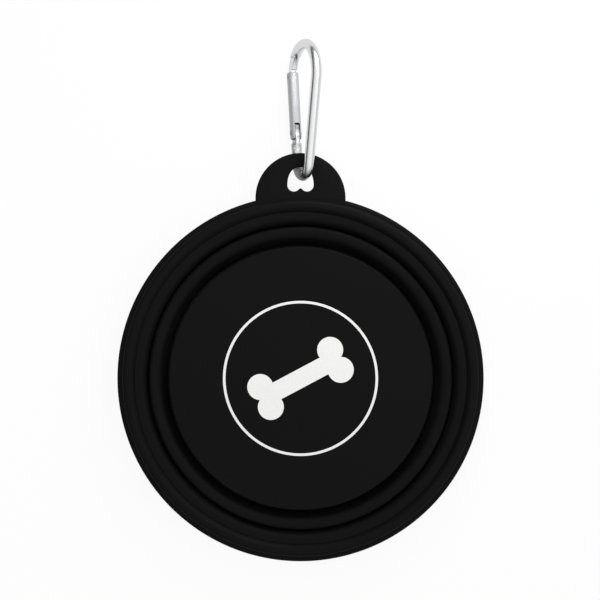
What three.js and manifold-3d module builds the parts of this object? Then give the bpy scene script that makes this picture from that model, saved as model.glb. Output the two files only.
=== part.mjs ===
// Collapsible travel bowl with a hang tab and a snap carabiner, folded flat.
// Millimetres, +Z up. The origin is the centre of the base plate's underside, +Y points to the hang tab.
// The wall is a soft moulding: two thick bands and two thin webs that turn inside out when the bowl opens.

import * as THREE from 'three';
import { mergeVertices } from 'three/addons/utils/BufferGeometryUtils.js';
import Module from 'manifold-3d';

const wasm = await Module();
wasm.setup();

// Bowl, radii and heights
const RIM_RADIUS = 65;
const FLANGE_WIDTH = 1.9;
const FLANGE_THICKNESS = 2.6;
const FLANGE_TOP = 0.2;
const BEAD_WIDTH = 4.15;
const BEAD_TOP = 2.6;
const BEAD_FOOT = 1.2;
const CREASE_DEPTH = 0.2;
const CREASE_RUN = 0.6;
const LEDGE_WIDTH = 4.4;
const LEDGE_TOP = 1.6;
const UPPER_STEP = 0.95;
const LOWER_STEP = 7;
const CREST_TOP = 1.2;
const BASE_THICKNESS = 2.2;
const BASE_EDGE_ROUND = 1.2;
const FOLD_DEPTH = 12;
const WALL = 1.8;
const WEB = 0.8;
const TOE_HEIGHT = 1;
const SEAT_HEIGHT = 0.9;
const LIP_HEIGHT = 1.2;
const CREST_SHOULDER = 3.6;
const LEDGE_SHOULDER = 2.6;
const SHOULDER_HEIGHT = 2.8;

// Hang tab and its heart-shaped hole
const TAB_RADIUS = 16;
const TAB_CENTRE_INSET = 1.1;
const TAB_EDGE_ROUND = 0.5;
const TAB_BAR = 4.95;
const HOLE_HEIGHT = 8.7;
const HOLE_WIDTH = 9.3;
const HOLE_LOBE_RADIUS = 2.3;
const HOLE_NOTCH_RADIUS = 0.75;

// Carabiner, a teardrop of round bar
const CLIP_LENGTH = 50.4;
const CLIP_WIDTH = 24.7;
const CLIP_BAR = 3.7;
const CLIP_SMALL_RADIUS = 5.2;
const CLIP_ROLL = THREE.MathUtils.degToRad(66.5);
const CLIP_SIDE_SHIFT = 0.95;
const CLIP_SAG = 0.35;
const GATE_DIAMETER = 4.1;
const GATE_TAIL = 2.25;
const GATE_CHEEK = 0.9;
const GATE_BORE = 2.2;
const GATE_BORE_DEPTH = 12;
const PIVOT_HEIGHT = 10.05;
const HEEL_TONGUE = 1.6;
const HEEL_TONGUE_REACH = 2.7;
const NOSE_TONGUE = 2;
const NOSE_HOOK = 2.1;
const NOSE_LAP = 2.56;
const NOSE_FLAT_RISE = 6.35;
const LATCH_INSET = 1.8;
const RIVET_DIAMETER = 1.5;
const RIVET_PROUD = 0.12;
const LATCH_PIN_DIAMETER = 1;
const SPRING_WIRE = 0.7;
const SPRING_REACH = 11;
const SPRING_BOW = 0.45;

// Clearances
const BOND_GAP = 0.05;
const FOLD_CLEARANCE = 0.3;
const WEB_CLEARANCE = 0.2;
const TONGUE_CLEARANCE = 0.2;
const PIN_CLEARANCE = 0.15;
const END_CLEARANCE = 0.7;
const FLOOR_CLEARANCE = 0.3;

// Mesh fineness
const ROUND_SEGMENTS = 72;
const ARC_STEPS = 4;
const HOLE_STEPS = 7;
const BAR_SIDES = 12;
const CLIP_STEPS = 84;
const PIN_SIDES = 16;

// Derived bowl sizes
const FLOOR = -FOLD_DEPTH;
const FLANGE_BOTTOM = FLANGE_TOP - FLANGE_THICKNESS;
const BEAD_OUTER = RIM_RADIUS - FLANGE_WIDTH;
const RING_INNER = BEAD_OUTER - BEAD_WIDTH;
const LEDGE_INNER = RING_INNER - LEDGE_WIDTH;
const CREST_RADIUS = LEDGE_INNER - UPPER_STEP;
const BASE_RADIUS = CREST_RADIUS - LOWER_STEP;
const TOE_TOP = FLOOR + TOE_HEIGHT;
const LOWER_TOE = BASE_RADIUS + FOLD_CLEARANCE;
const UPPER_TOE = CREST_RADIUS + FOLD_CLEARANCE;
const LIP_BOTTOM = CREST_TOP - LIP_HEIGHT;
const TAB_CENTRE = RIM_RADIUS - TAB_CENTRE_INSET;
const TAB_TIP = TAB_CENTRE + TAB_RADIUS;
const HOLE_TOP = TAB_TIP - TAB_BAR;
const TAB_MIDDLE = (FLANGE_TOP + FLANGE_BOTTOM) / 2;

// Derived carabiner sizes, in its own frame: x across, y along, z square to its plane
const BAR_RADIUS = CLIP_BAR / 2;
const GATE_RADIUS = GATE_DIAMETER / 2;
const LARGE_RADIUS = (CLIP_WIDTH - CLIP_BAR) / 2;
const ARC_SPACING = CLIP_LENGTH - CLIP_BAR - LARGE_RADIUS - CLIP_SMALL_RADIUS;
const TAPER = Math.asin((LARGE_RADIUS - CLIP_SMALL_RADIUS) / ARC_SPACING);
const SIDE_LENGTH = ARC_SPACING * Math.cos(TAPER);
const PIVOT_RUN = (PIVOT_HEIGHT + CLIP_SMALL_RADIUS * Math.sin(TAPER)) / Math.cos(TAPER);
const GATE_REACH = SIDE_LENGTH - PIVOT_RUN + NOSE_LAP;
const LATCH_REACH = GATE_REACH - LATCH_INSET;
const NOSE_TIP = LATCH_REACH - NOSE_HOOK;
const NOSE_FLAT_TOP = ARC_SPACING + NOSE_FLAT_RISE;
const HEEL_SLOT = HEEL_TONGUE + 2 * TONGUE_CLEARANCE;
const NOSE_SLOT = NOSE_TONGUE + 2 * TONGUE_CLEARANCE;
const NOSE_SLOT_SIDE = GATE_RADIUS - GATE_CHEEK;

// Materials
const hardBlack = new THREE.MeshStandardMaterial({ color: 0x1b1b1b, roughness: 0.55, metalness: 0 });
const softBlack = new THREE.MeshStandardMaterial({ color: 0x171717, roughness: 0.7, metalness: 0 });
const aluminium = new THREE.MeshStandardMaterial({ color: 0xd9dadb, roughness: 0.22, metalness: 1 });
const steel = new THREE.MeshStandardMaterial({ color: 0xb4b5b8, roughness: 0.35, metalness: 1 });

// Turns a closed geometry into a solid for cutting and joining.
function solidOf(geometry) {
  const bare = geometry.clone();
  bare.deleteAttribute('normal');
  bare.deleteAttribute('uv');
  const merged = mergeVertices(bare, 1e-4);
  const vertProperties = new Float32Array(merged.attributes.position.array);
  const triVerts = new Uint32Array(merged.index.array);
  return new wasm.Manifold(new wasm.Mesh({ numProp: 3, vertProperties, triVerts }));
}

// Turns a solid back into a geometry.
function geometryOf(solid) {
  const mesh = solid.getMesh();
  const geometry = new THREE.BufferGeometry();
  geometry.setAttribute('position', new THREE.BufferAttribute(new Float32Array(mesh.vertProperties), 3));
  geometry.setIndex(new THREE.BufferAttribute(new Uint32Array(mesh.triVerts), 1));
  const flat = geometry.toNonIndexed();
  flat.computeVertexNormals();
  return flat;
}

// A closed outline of radius and height, turned about +Z.
function revolve(outline, segments = ROUND_SEGMENTS) {
  const points = outline.getPoints(ARC_STEPS);
  if (THREE.ShapeUtils.area(points) < 0) points.reverse();
  const first = points[0];
  if (first.x > 0 && !first.equals(points.at(-1))) points.push(first.clone());
  return new THREE.LatheGeometry(points, segments).rotateX(Math.PI / 2);
}

// A round pin of the given size along z, centred on the point (x, y, z).
function pin(radius, length, x, y, z = 0, sides = PIN_SIDES) {
  const geometry = new THREE.CylinderGeometry(radius, radius, length, sides);
  return geometry.rotateX(Math.PI / 2).translate(x, y, z);
}

// A box between two corners.
function block(low, high) {
  const size = high.map((value, i) => value - low[i]);
  const middle = high.map((value, i) => (value + low[i]) / 2);
  return new THREE.BoxGeometry(...size).translate(...middle);
}

function part(name, geometry, material) {
  const mesh = new THREE.Mesh(geometry, material);
  mesh.name = name;
  return mesh;
}

// Hard base plate: a flat disc with a rounded upper edge and a step under its lip that holds the lower web.
function basePlate() {
  const stepRadius = BASE_RADIUS - WEB - BOND_GAP;
  const stepTop = SEAT_HEIGHT + BOND_GAP;
  const lipTop = (stepTop + BASE_THICKNESS) / 2;
  const outline = new THREE.Path();
  outline.moveTo(0, 0);
  outline.lineTo(stepRadius, 0);
  outline.lineTo(stepRadius, stepTop);
  outline.lineTo(BASE_RADIUS, stepTop);
  outline.lineTo(BASE_RADIUS, lipTop);
  outline.quadraticCurveTo(BASE_RADIUS, BASE_THICKNESS, BASE_RADIUS - BASE_EDGE_ROUND, BASE_THICKNESS);
  outline.lineTo(0, BASE_THICKNESS);
  return part('base_plate', revolve(outline), hardBlack);
}

// Thin web that hangs from a collar and stands on the toe of the band outside it.
function foldWeb(name, collarRadius, collarTop, toeRadius) {
  const collarBottom = collarTop - SEAT_HEIGHT;
  const foot = TOE_TOP + BOND_GAP;
  const outline = new THREE.Path();
  outline.moveTo(collarRadius - WEB, collarTop);
  outline.lineTo(collarRadius - WEB, collarBottom);
  outline.lineTo(toeRadius, foot);
  outline.lineTo(toeRadius + WEB, foot);
  outline.lineTo(collarRadius, collarBottom);
  outline.lineTo(collarRadius, collarTop);
  outline.closePath();
  return part(name, revolve(outline), softBlack);
}

// Thick lower band: a toe under the lower web, a flared wall, and a round crest whose lip holds the upper web.
function lowerWallBand() {
  const wallFoot = LOWER_TOE + WEB + WEB_CLEARANCE;
  const neck = CREST_RADIUS - WEB - BOND_GAP;
  const shoulder = LIP_BOTTOM - BOND_GAP;
  const crestMiddle = CREST_RADIUS - LIP_HEIGHT;
  const inside = crestMiddle - CREST_SHOULDER;
  const outline = new THREE.Path();
  outline.moveTo(LOWER_TOE, FLOOR);
  outline.lineTo(wallFoot + WALL, FLOOR);
  outline.lineTo(neck, shoulder);
  outline.lineTo(neck, LIP_BOTTOM);
  outline.lineTo(CREST_RADIUS, LIP_BOTTOM);
  outline.quadraticCurveTo(CREST_RADIUS, CREST_TOP, crestMiddle, CREST_TOP);
  outline.quadraticCurveTo(inside + CREST_SHOULDER / 5, CREST_TOP, inside, CREST_TOP - SHOULDER_HEIGHT);
  outline.lineTo(wallFoot, TOE_TOP);
  outline.lineTo(LOWER_TOE, TOE_TOP);
  outline.closePath();
  return part('lower_wall_band', revolve(outline), softBlack);
}

// Thick upper band: a toe under the upper web, a flared wall, and a ledge bonded inside the rim ring.
function upperWallBand() {
  const wallFoot = UPPER_TOE + WEB + WEB_CLEARANCE;
  const bond = RING_INNER - BOND_GAP;
  const neck = FLANGE_BOTTOM - WALL;
  const outline = new THREE.Path();
  outline.moveTo(UPPER_TOE, FLOOR);
  outline.lineTo(wallFoot + WALL, FLOOR);
  outline.lineTo(bond - WALL / 2, neck);
  outline.lineTo(bond, FLANGE_BOTTOM);
  outline.lineTo(bond, LEDGE_TOP - CREASE_DEPTH);
  outline.quadraticCurveTo(bond, LEDGE_TOP, bond - CREASE_RUN, LEDGE_TOP);
  outline.lineTo(LEDGE_INNER + LEDGE_SHOULDER, LEDGE_TOP);
  outline.quadraticCurveTo(LEDGE_INNER + LEDGE_SHOULDER / 5, LEDGE_TOP, LEDGE_INNER, LEDGE_TOP - SHOULDER_HEIGHT);
  outline.lineTo(wallFoot, TOE_TOP);
  outline.lineTo(UPPER_TOE, TOE_TOP);
  outline.closePath();
  return part('upper_wall_band', revolve(outline), softBlack);
}

// The heart-shaped hole in the hang tab, tip towards the tab's free edge.
function heartHole() {
  const half = HOLE_WIDTH / 2;
  const lobeX = half - HOLE_LOBE_RADIUS;
  const lobeY = HOLE_TOP - HOLE_HEIGHT + HOLE_LOBE_RADIUS;
  const reach = HOLE_LOBE_RADIUS + HOLE_NOTCH_RADIUS;
  const notchY = lobeY - Math.sqrt(reach ** 2 - lobeX ** 2);
  const turn = Math.atan2(lobeY - notchY, lobeX);
  const sideY = lobeY + 0.52 * (HOLE_TOP - lobeY);
  const tipX = 0.72 * half;
  const side = new THREE.Path();
  side.absarc(0, notchY, HOLE_NOTCH_RADIUS, Math.PI / 2, turn, true);
  side.absarc(lobeX, lobeY, HOLE_LOBE_RADIUS, turn + Math.PI, 2 * Math.PI, false);
  side.bezierCurveTo(half, sideY, tipX, HOLE_TOP, 0, HOLE_TOP);
  const apart = (point, i, all) => i === 0 || point.distanceTo(all[i - 1]) > 0.01;
  const right = side.getPoints(HOLE_STEPS).filter(apart);
  const left = right.slice(1, -1).reverse().map((point) => new THREE.Vector2(-point.x, point.y));
  return new THREE.Path([...right, ...left]);
}

// Hang tab: a rounded plate whose root lies inside the ring.
function hangTab() {
  const root = RING_INNER + BEAD_WIDTH / 4;
  const outline = new THREE.Shape();
  outline.moveTo(-TAB_RADIUS, root);
  outline.lineTo(TAB_RADIUS, root);
  outline.lineTo(TAB_RADIUS, TAB_CENTRE);
  outline.absarc(0, TAB_CENTRE, TAB_RADIUS, 0, Math.PI, false);
  outline.closePath();
  outline.holes.push(heartHole());
  const depth = FLANGE_THICKNESS - 2 * TAB_EDGE_ROUND;
  const plate = new THREE.ExtrudeGeometry(outline, {
    depth,
    curveSegments: 12,
    bevelThickness: TAB_EDGE_ROUND,
    bevelSize: TAB_EDGE_ROUND,
    bevelOffset: -TAB_EDGE_ROUND,
    bevelSegments: 2,
  });
  return plate.translate(0, 0, FLANGE_BOTTOM + TAB_EDGE_ROUND);
}

// Hard rim ring: a thin flange, a raised bead beside it, and the hang tab in one moulding.
function rimRing() {
  const beadMiddle = (RING_INNER + BEAD_OUTER) / 2;
  const beadRound = (BEAD_TOP - FLANGE_TOP) / 2;
  const edge = FLANGE_THICKNESS / 4;
  const outline = new THREE.Path();
  outline.moveTo(RING_INNER, FLANGE_BOTTOM);
  outline.lineTo(RIM_RADIUS - edge, FLANGE_BOTTOM);
  outline.quadraticCurveTo(RIM_RADIUS, FLANGE_BOTTOM, RIM_RADIUS, FLANGE_BOTTOM + edge);
  outline.lineTo(RIM_RADIUS, FLANGE_TOP - edge);
  outline.quadraticCurveTo(RIM_RADIUS, FLANGE_TOP, RIM_RADIUS - edge, FLANGE_TOP);
  outline.lineTo(BEAD_OUTER, FLANGE_TOP);
  outline.lineTo(BEAD_OUTER, BEAD_TOP - beadRound);
  outline.quadraticCurveTo(BEAD_OUTER, BEAD_TOP, beadMiddle, BEAD_TOP);
  outline.quadraticCurveTo(RING_INNER + BEAD_FOOT, BEAD_TOP, RING_INNER, LEDGE_TOP - CREASE_DEPTH);
  outline.closePath();
  const ring = solidOf(revolve(outline));
  return part('rim_ring', geometryOf(ring.add(solidOf(hangTab()))), hardBlack);
}

// Centre line of the carabiner's bar, from the heel tongue round the small arc, the spine and the large arc
// to the nose.
class ClipPath extends THREE.Curve {
  constructor(heelLength, noseLength) {
    super();
    this.runs = [heelLength, CLIP_SMALL_RADIUS * (Math.PI - 2 * TAPER), SIDE_LENGTH,
      LARGE_RADIUS * (Math.PI + 2 * TAPER), noseLength];
    this.total = this.runs.reduce((sum, run) => sum + run, 0);
  }

  getPoint(t, target = new THREE.Vector3()) {
    let along = t * this.total;
    let run = 0;
    while (run < this.runs.length - 1 && along > this.runs[run]) {
      along -= this.runs[run];
      run += 1;
    }
    if (run === 0) return target.copy(gatePoint(this.runs[0] - along - PIVOT_RUN));
    if (run === 1) return arcPoint(target, CLIP_SMALL_RADIUS, 0, Math.PI + TAPER + along / CLIP_SMALL_RADIUS);
    if (run === 2) {
      arcPoint(target, CLIP_SMALL_RADIUS, 0, -TAPER);
      return target.add(new THREE.Vector3(Math.sin(TAPER), Math.cos(TAPER), 0).multiplyScalar(along));
    }
    if (run === 3) return arcPoint(target, LARGE_RADIUS, ARC_SPACING, -TAPER + along / LARGE_RADIUS);
    return target.copy(gatePoint(SIDE_LENGTH - PIVOT_RUN - along));
  }
}

function arcPoint(target, radius, centreY, angle) {
  return target.set(radius * Math.cos(angle), centreY + radius * Math.sin(angle), 0);
}

// A point on the gate's line, at a distance past the pivot.
const GATE_FOOT = new THREE.Vector3(-CLIP_SMALL_RADIUS * Math.cos(TAPER), -CLIP_SMALL_RADIUS * Math.sin(TAPER), 0);
const GATE_WAY = new THREE.Vector3(-Math.sin(TAPER), Math.cos(TAPER), 0);
function gatePoint(pastPivot) {
  return GATE_FOOT.clone().addScaledVector(GATE_WAY, PIVOT_RUN + pastPivot);
}

// Moves a geometry from the gate's frame, with the pivot at its origin and the gate along +y, to the clip's frame.
function alongGate(geometry) {
  const pivot = gatePoint(0);
  return geometry.rotateZ(TAPER).translate(pivot.x, pivot.y, pivot.z);
}

// Two blocks that leave a tongue of the given thickness between them.
function tongueCutters(thickness, low, high) {
  const half = thickness / 2;
  const above = block([low[0], low[1], half], [high[0], high[1], CLIP_BAR]);
  const below = block([low[0], low[1], -CLIP_BAR], [high[0], high[1], -half]);
  return [above, below];
}

// A round bar along a curve.
function bar(curve, radius, sides, steps) {
  const section = new THREE.Shape().absarc(0, 0, radius, 0, 2 * Math.PI, false);
  return new THREE.ExtrudeGeometry(section, { steps, curveSegments: sides / 2, extrudePath: curve });
}

// Carabiner frame: the bent bar, its heel flattened to a drilled tongue and its nose milled and notched.
function carabinerFrame() {
  const heelLength = PIVOT_RUN + HEEL_TONGUE_REACH;
  const noseLength = SIDE_LENGTH - PIVOT_RUN - NOSE_TIP;
  let solid = solidOf(bar(new ClipPath(heelLength, noseLength), BAR_RADIUS, BAR_SIDES, CLIP_STEPS));
  const shoulder = -GATE_TAIL - END_CLEARANCE - BAR_RADIUS / 4;
  const heelCuts = tongueCutters(HEEL_TONGUE, [-CLIP_BAR, shoulder], [CLIP_BAR, HEEL_TONGUE_REACH + CLIP_BAR]);
  const noseLow = [-LARGE_RADIUS - CLIP_BAR, PIVOT_HEIGHT + HEEL_TONGUE_REACH + CLIP_BAR];
  const noseCuts = tongueCutters(NOSE_TONGUE, noseLow, [-LARGE_RADIUS / 3, NOSE_FLAT_TOP]);
  const rivetHole = pin(RIVET_DIAMETER / 2 + PIN_CLEARANCE, CLIP_BAR, 0, 0);
  const springHole = new THREE.CylinderGeometry(SPRING_WIRE / 2 + PIN_CLEARANCE, SPRING_WIRE / 2 + PIN_CLEARANCE,
    HEEL_TONGUE_REACH, PIN_SIDES).translate(0, springSeat() + HEEL_TONGUE_REACH / 2 - PIN_CLEARANCE, 0);
  const notchHalf = LATCH_PIN_DIAMETER / 2 + 2 * PIN_CLEARANCE;
  const notchEnd = pin(notchHalf, CLIP_BAR, 0, LATCH_REACH);
  const notchMouth = block([0, LATCH_REACH - notchHalf, -CLIP_BAR], [CLIP_BAR, LATCH_REACH + notchHalf, CLIP_BAR]);
  const noseSide = block([NOSE_SLOT_SIDE - TONGUE_CLEARANCE, NOSE_TIP - CLIP_BAR, -CLIP_BAR],
    [CLIP_BAR, GATE_REACH + END_CLEARANCE, CLIP_BAR]);
  for (const cut of [...heelCuts, rivetHole, springHole, notchEnd, notchMouth, noseSide]) {
    solid = solid.subtract(solidOf(alongGate(cut)));
  }
  for (const cut of noseCuts) solid = solid.subtract(solidOf(cut));
  return part('carabiner_frame', geometryOf(solid), aluminium);
}

// Carabiner gate: a round bar, forked at its heel, slotted from outside for the nose and bored for its spring.
function carabinerGate() {
  const chamfer = GATE_RADIUS / 5;
  const outline = new THREE.Path();
  outline.moveTo(0, -GATE_TAIL);
  outline.lineTo(GATE_RADIUS - chamfer, -GATE_TAIL);
  outline.lineTo(GATE_RADIUS, chamfer - GATE_TAIL);
  outline.lineTo(GATE_RADIUS, GATE_REACH - chamfer);
  outline.lineTo(GATE_RADIUS - chamfer, GATE_REACH);
  outline.lineTo(0, GATE_REACH);
  const body = revolve(outline, PIN_SIDES).rotateX(-Math.PI / 2);
  const wide = GATE_DIAMETER;
  const heelSlotTop = HEEL_TONGUE_REACH + END_CLEARANCE;
  const noseSlotFoot = NOSE_TIP - END_CLEARANCE;
  const cuts = [
    block([-wide, -wide, -HEEL_SLOT / 2], [wide, heelSlotTop, HEEL_SLOT / 2]),
    block([-wide, noseSlotFoot, -NOSE_SLOT / 2], [NOSE_SLOT_SIDE, GATE_REACH + wide, NOSE_SLOT / 2]),
    pin(RIVET_DIAMETER / 2 + PIN_CLEARANCE, 2 * wide, 0, 0),
    pin(LATCH_PIN_DIAMETER / 2 + PIN_CLEARANCE, 2 * wide, 0, LATCH_REACH),
    new THREE.CylinderGeometry(GATE_BORE / 2, GATE_BORE / 2, GATE_BORE_DEPTH, PIN_SIDES)
      .translate(0, GATE_BORE_DEPTH / 2, 0),
  ];
  let solid = solidOf(body);
  for (const cut of cuts) solid = solid.subtract(solidOf(cut));
  return part('carabiner_gate', alongGate(geometryOf(solid)), aluminium);
}

// Rivet that the gate turns on: a straight pin whose peened ends stand just proud of the gate's cheeks.
function gateRivet() {
  const shank = RIVET_DIAMETER / 2;
  const tip = GATE_RADIUS + RIVET_PROUD;
  const edge = tip - 2 * RIVET_PROUD;
  const outline = new THREE.Path();
  outline.moveTo(0, -tip);
  outline.lineTo(shank / 2, -tip);
  outline.lineTo(shank, -edge);
  outline.lineTo(shank, edge);
  outline.lineTo(shank / 2, tip);
  outline.lineTo(0, tip);
  return part('gate_rivet', alongGate(revolve(outline, PIN_SIDES)), steel);
}

// Cross pin in the gate's upper fork, which the nose notch takes in when the gate is shut.
function gateLatchPin() {
  const halfChord = Math.sqrt(GATE_RADIUS ** 2 - (LATCH_PIN_DIAMETER / 2) ** 2);
  const geometry = pin(LATCH_PIN_DIAMETER / 2, 2 * halfChord, 0, LATCH_REACH);
  return part('gate_latch_pin', alongGate(geometry), steel);
}

// Where the spring's lower end sits in the heel tongue, above the rivet.
function springSeat() {
  return RIVET_DIAMETER / 2 + 4 * PIN_CLEARANCE;
}

// Spring wire from the heel tongue into the gate's bore, bowed against the bore's wall.
function gateSpring() {
  const seat = springSeat();
  const mouth = HEEL_TONGUE_REACH + END_CLEARANCE;
  const curve = new THREE.CubicBezierCurve3(
    new THREE.Vector3(0, seat, 0),
    new THREE.Vector3(0, mouth, 0),
    new THREE.Vector3(0, mouth, 0),
    new THREE.Vector3(SPRING_BOW, SPRING_REACH, 0),
  );
  return part('gate_spring', alongGate(bar(curve, SPRING_WIRE / 2, 8, 8)), steel);
}

// The carabiner hangs in the tab's hole, its small arc round the bar of the tab and its spine above it.
// It is rolled about its length and pitched so that its large end lies on the surface under the bowl.
function carabiner() {
  const drop = LARGE_RADIUS * Math.sin(CLIP_ROLL) + GATE_RADIUS + FLOOR_CLEARANCE - (TAB_MIDDLE - FLOOR);
  const pitch = Math.asin(Math.max(0, drop) / (ARC_SPACING * Math.sin(CLIP_ROLL)));
  const swung = new THREE.Group();
  swung.rotation.z = -pitch;
  swung.add(carabinerFrame(), carabinerGate(), gateRivet(), gateLatchPin(), gateSpring());
  const rolled = new THREE.Group();
  rolled.position.set(CLIP_SIDE_SHIFT, TAB_TIP - TAB_BAR / 2 - CLIP_SAG, TAB_MIDDLE);
  rolled.rotation.y = -CLIP_ROLL;
  rolled.add(swung);
  return rolled;
}

const bowl = new THREE.Group();
bowl.name = 'collapsible_bowl';
bowl.add(
  basePlate(),
  foldWeb('lower_fold_web', BASE_RADIUS, SEAT_HEIGHT, LOWER_TOE),
  lowerWallBand(),
  foldWeb('upper_fold_web', CREST_RADIUS, LIP_BOTTOM - BOND_GAP, UPPER_TOE),
  upperWallBand(),
  rimRing(),
  carabiner(),
);

export default bowl;
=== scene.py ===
# Looks, light and camera for a collapsible travel bowl, folded flat, with the carabiner on its hang tab.
# Metres, +Z up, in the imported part's frame: the origin is the centre of the base plate's underside.

import math

import bpy
from mathutils import Matrix, Vector


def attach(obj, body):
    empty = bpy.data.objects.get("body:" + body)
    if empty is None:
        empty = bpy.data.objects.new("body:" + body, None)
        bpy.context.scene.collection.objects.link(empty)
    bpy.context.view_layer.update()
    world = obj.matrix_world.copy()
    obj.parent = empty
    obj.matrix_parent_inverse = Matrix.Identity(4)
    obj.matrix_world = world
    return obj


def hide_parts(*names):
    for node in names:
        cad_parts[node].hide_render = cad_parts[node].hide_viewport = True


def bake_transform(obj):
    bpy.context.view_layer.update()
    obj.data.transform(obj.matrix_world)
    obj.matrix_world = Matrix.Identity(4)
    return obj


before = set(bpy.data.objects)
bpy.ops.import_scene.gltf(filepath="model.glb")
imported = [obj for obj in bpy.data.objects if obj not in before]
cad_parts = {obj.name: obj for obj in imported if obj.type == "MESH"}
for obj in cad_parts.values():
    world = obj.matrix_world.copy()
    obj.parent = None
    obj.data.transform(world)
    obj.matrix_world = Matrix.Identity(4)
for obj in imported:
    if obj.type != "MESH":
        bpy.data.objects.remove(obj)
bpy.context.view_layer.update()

MM = 0.001

# Bowl, radii and heights in millimetres
RIM_RADIUS = 64.995
FLANGE_TOP = 0.2
FLANGE_BOTTOM = -2.4
BEAD_OUTER = 63.1
BEAD_TOP = 2.6
BEAD_FOOT = 1.2
CREASE_DEPTH = 0.2
CREASE_RUN = 0.6
RING_INNER = 58.95
LEDGE_INNER = 54.55
LEDGE_TOP = 1.6
CREST_RADIUS = 53.6
CREST_TOP = 1.2
BASE_RADIUS = 46.6
BASE_THICKNESS = 2.2
FLOOR = -12.0
FLOOR_GAP = 0.02
WALL = 1.8
WEB = 0.8
TOE_TOP = -11.0
SEAT_HEIGHT = 0.9
BOND = 0.05
LOWER_TOE = 46.9
UPPER_TOE = 53.9
WEB_CLEARANCE = 0.2
LIP_HEIGHT = 1.2
CREST_SHOULDER = 3.6
LEDGE_SHOULDER = 2.6
SHOULDER_HEIGHT = 2.8
# Shares of a shoulder's width: from its inner side to its corner, and from there out to the curve's start
SHOULDER_CORNER = 0.2
SHOULDER_CURVE = 0.79

# Roundings of the mouldings: how far the curve runs along the side before a corner and the side after it
SHARP = (0, 0)
FINE_EDGE = (0.1, 0.1)
STEP_EDGE = (0.2, 0.2)
PLATE_UNDER_EDGE = (0.12, 0.12)
PLATE_TOP_EDGE = (0.5, 0.6)
TOE_EDGE = (0.3, 0.3)
FOOT_EDGE = (0.6, 0.6)
ROOT_EDGE = (0.4, 0)
CREST_EDGE = (1.05, LIP_HEIGHT)
BELOW_FLANGE_EDGE = (1.2, 0.6)
FLANGE_UNDER_EDGE = (0.65, 0.65)
FLANGE_TOP_EDGE = (0.75, 1.3)
BEAD_FOOT_EDGE = (0.15, 0.15)
BEAD_OUTER_EDGE = (1.1, 1.9)
BEAD_INNER_EDGE = (0.7, 1.6)

# Hang tab and its heart-shaped hole
TAB_RADIUS = 16.0
TAB_CENTRE = 63.9
TAB_ROOT = 60.4
TAB_EDGE = 0.6
HOLE_TOP = 74.95
HOLE_HALF_WIDTH = 4.65
HOLE_LOBE_RADIUS = 2.3
HOLE_LOBE_HEIGHT = 68.55
HOLE_NOTCH_RADIUS = 0.75
# Fullness of the curve from the lobe to the top, as shares of its rise and of the half width
HOLE_SIDE_FULLNESS = 0.52
HOLE_TOP_FULLNESS = 0.72

# Carabiner, in its own frame: x across, y along, z square to its plane
BAR_RADIUS = 1.825
GATE_RADIUS = 2.05
SMALL_RADIUS = 5.2
LARGE_RADIUS = 10.5
ARC_SPACING = 31.0
CLIP_ROLL = math.radians(66.5)
CLIP_CENTRE = (0.95, 77.075, -1.1)
CLIP_REST_GAP = 0.3
PIVOT_HEIGHT = 10.05
GATE_TAIL = 2.25
GATE_REACH = 22.0
GATE_BORE = 1.1
GATE_BORE_REACH = 12.0
GATE_CHEEK = 0.9
HEEL_REACH = 2.7
HEEL_TONGUE = 1.6
HEEL_SLOT = 2.0
HEEL_SHOULDER = -3.4
HEEL_SHOULDER_RUN = 0.5
NOSE_TIP = 18.1
NOSE_TONGUE = 2.0
NOSE_SLOT = 2.4
NOSE_FLAT_TOP = 37.35
LATCH_REACH = 20.2
LATCH_RADIUS = 0.5
RIVET_RADIUS = 0.75
RIVET_TIP = 2.17
RIVET_DOME_RUN = 0.4
RIVET_DOME_DROP = 0.24
SPRING_RADIUS = 0.35
SPRING_SEAT = 1.35
SPRING_REACH = 11.0
SPRING_BOW = 0.45
END_GAP = 0.7
TONGUE_GAP = 0.2
PIN_GAP = 0.15
# Bevels on the metal
FRAME_BEVEL = 0.14
GATE_END_BEVEL = 0.5
GATE_CUT_BEVEL = 0.12
LATCH_BEVEL = 0.1
# The heel's sawn tip, which stands in the gate's slot, is coloured darker from here on as painted shade,
# counted from the pivot
SHADE_START = 1.0
# Faces of the gate nearer to its axis than this share of its radius are the cut faces inside its slots and
# bore, which get painted shade
CUT_FACE_SHARE = 0.85
# How far the frame's cutters reach from the gate's line, and how near a point is to count as at a mark
CUTTER_REACH = 4
MARK_MARGIN = 0.01

# Printed motif on the base plate
PRINT_RING_RADIUS = 27.0
PRINT_RING_LINE = 0.9
BONE_HALF_LENGTH = 14.0
BONE_LOBE_RADIUS = 4.6
BONE_LOBE_SPREAD = 4.0
BONE_SHAFT = 3.3
BONE_TILT = math.radians(28)
INK_THICKNESS = 0.05
INK_LIFT = 0.01

# Mesh fineness: steps along each curve, then angles in degrees for smooth shading and for merging faces
TURN_STEPS = 240
ROUND_STEPS = 10
WEB_RINGS = 24
TAB_STEPS = 96
NOTCH_STEPS = 8
HOLE_LOBE_STEPS = 28
HOLE_TOP_STEPS = 24
PRINT_RING_STEPS = 180
BONE_LOBE_STEPS = 32
BAR_SIDES = 40
SMALL_ARC_STEPS = 40
LARGE_ARC_STEPS = 72
RIVET_STEPS = 40
SPRING_SIDES = 16
SPRING_STEPS = 24
SMOOTH_ANGLE = 35
PRINT_SMOOTH_ANGLE = 30
FLAT_ANGLE = 1

# In metres: points closer than a weld are one point, and points nearer the axis than its margin are on it
TURN_WELD = 1e-6
BAR_WELD = 1e-7
AXIS_MARGIN = 1e-7

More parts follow.
